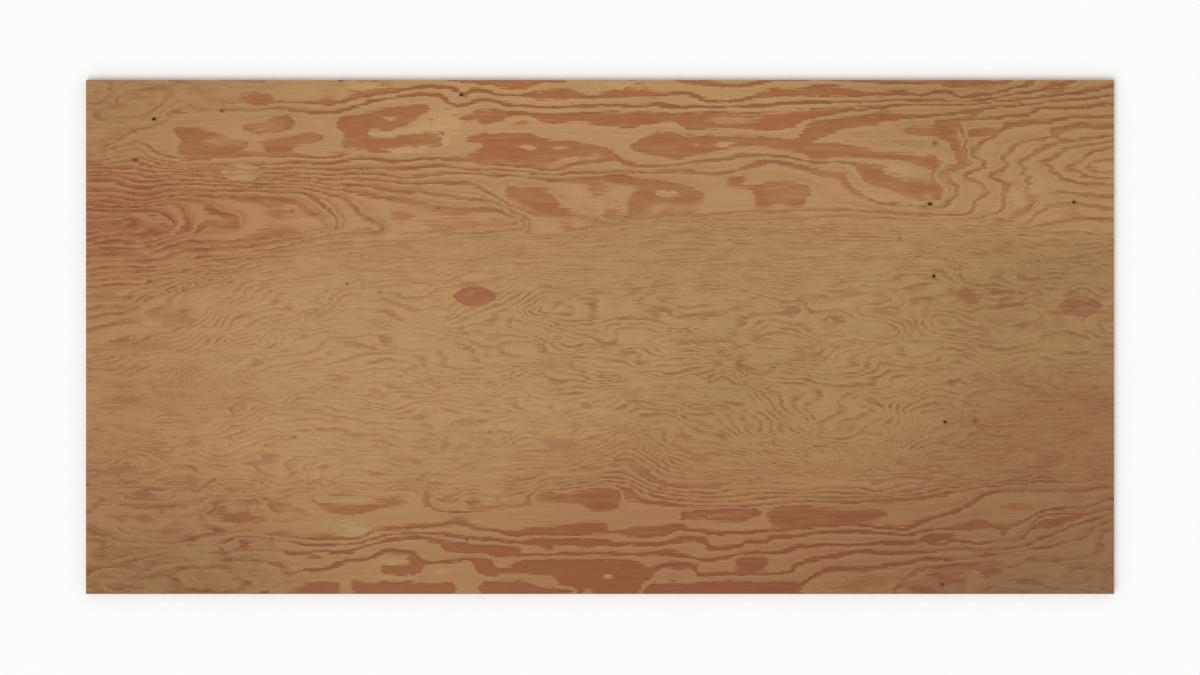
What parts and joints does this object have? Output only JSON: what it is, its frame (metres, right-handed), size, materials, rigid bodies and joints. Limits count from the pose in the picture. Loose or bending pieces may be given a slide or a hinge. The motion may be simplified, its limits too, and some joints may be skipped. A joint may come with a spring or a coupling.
{
  "type": "plywood sheet",
  "caption": "Flat rectangular sheet of Douglas-fir plywood, glued up from cross-laid veneers, with boat-shaped patches let into its sanded good face.",
  "frame": {"origin": "middle of the back veneer's underside, where the sheet lies on a floor", "axes": "+X along the grain of the face and the sheet's length, +Y across the grain along its width, +Z out of the good face"},
  "size_m": [2.4384, 1.2192, 0.0183],
  "materials": {
    "face_veneer": "matte",
    "crossband_veneer": "matte",
    "centre_ply": "matte",
    "back_veneer": "matte",
    "patch_pale": "matte",
    "patch_red": "matte"
  },
  "bodies": {
    "root": {"face_veneer": "face_veneer", "crossband_upper_left": "crossband_veneer", "crossband_upper_right": "crossband_veneer", "centre_ply": "centre_ply", "crossband_lower_left": "crossband_veneer", "crossband_lower_right": "crossband_veneer", "back_veneer": "back_veneer", "patch_upper_left": "patch_pale", "patch_centre": "patch_red", "patch_right_end": "patch_red", "patch_lower_left": "patch_pale"}
  },
  "joints": []
}
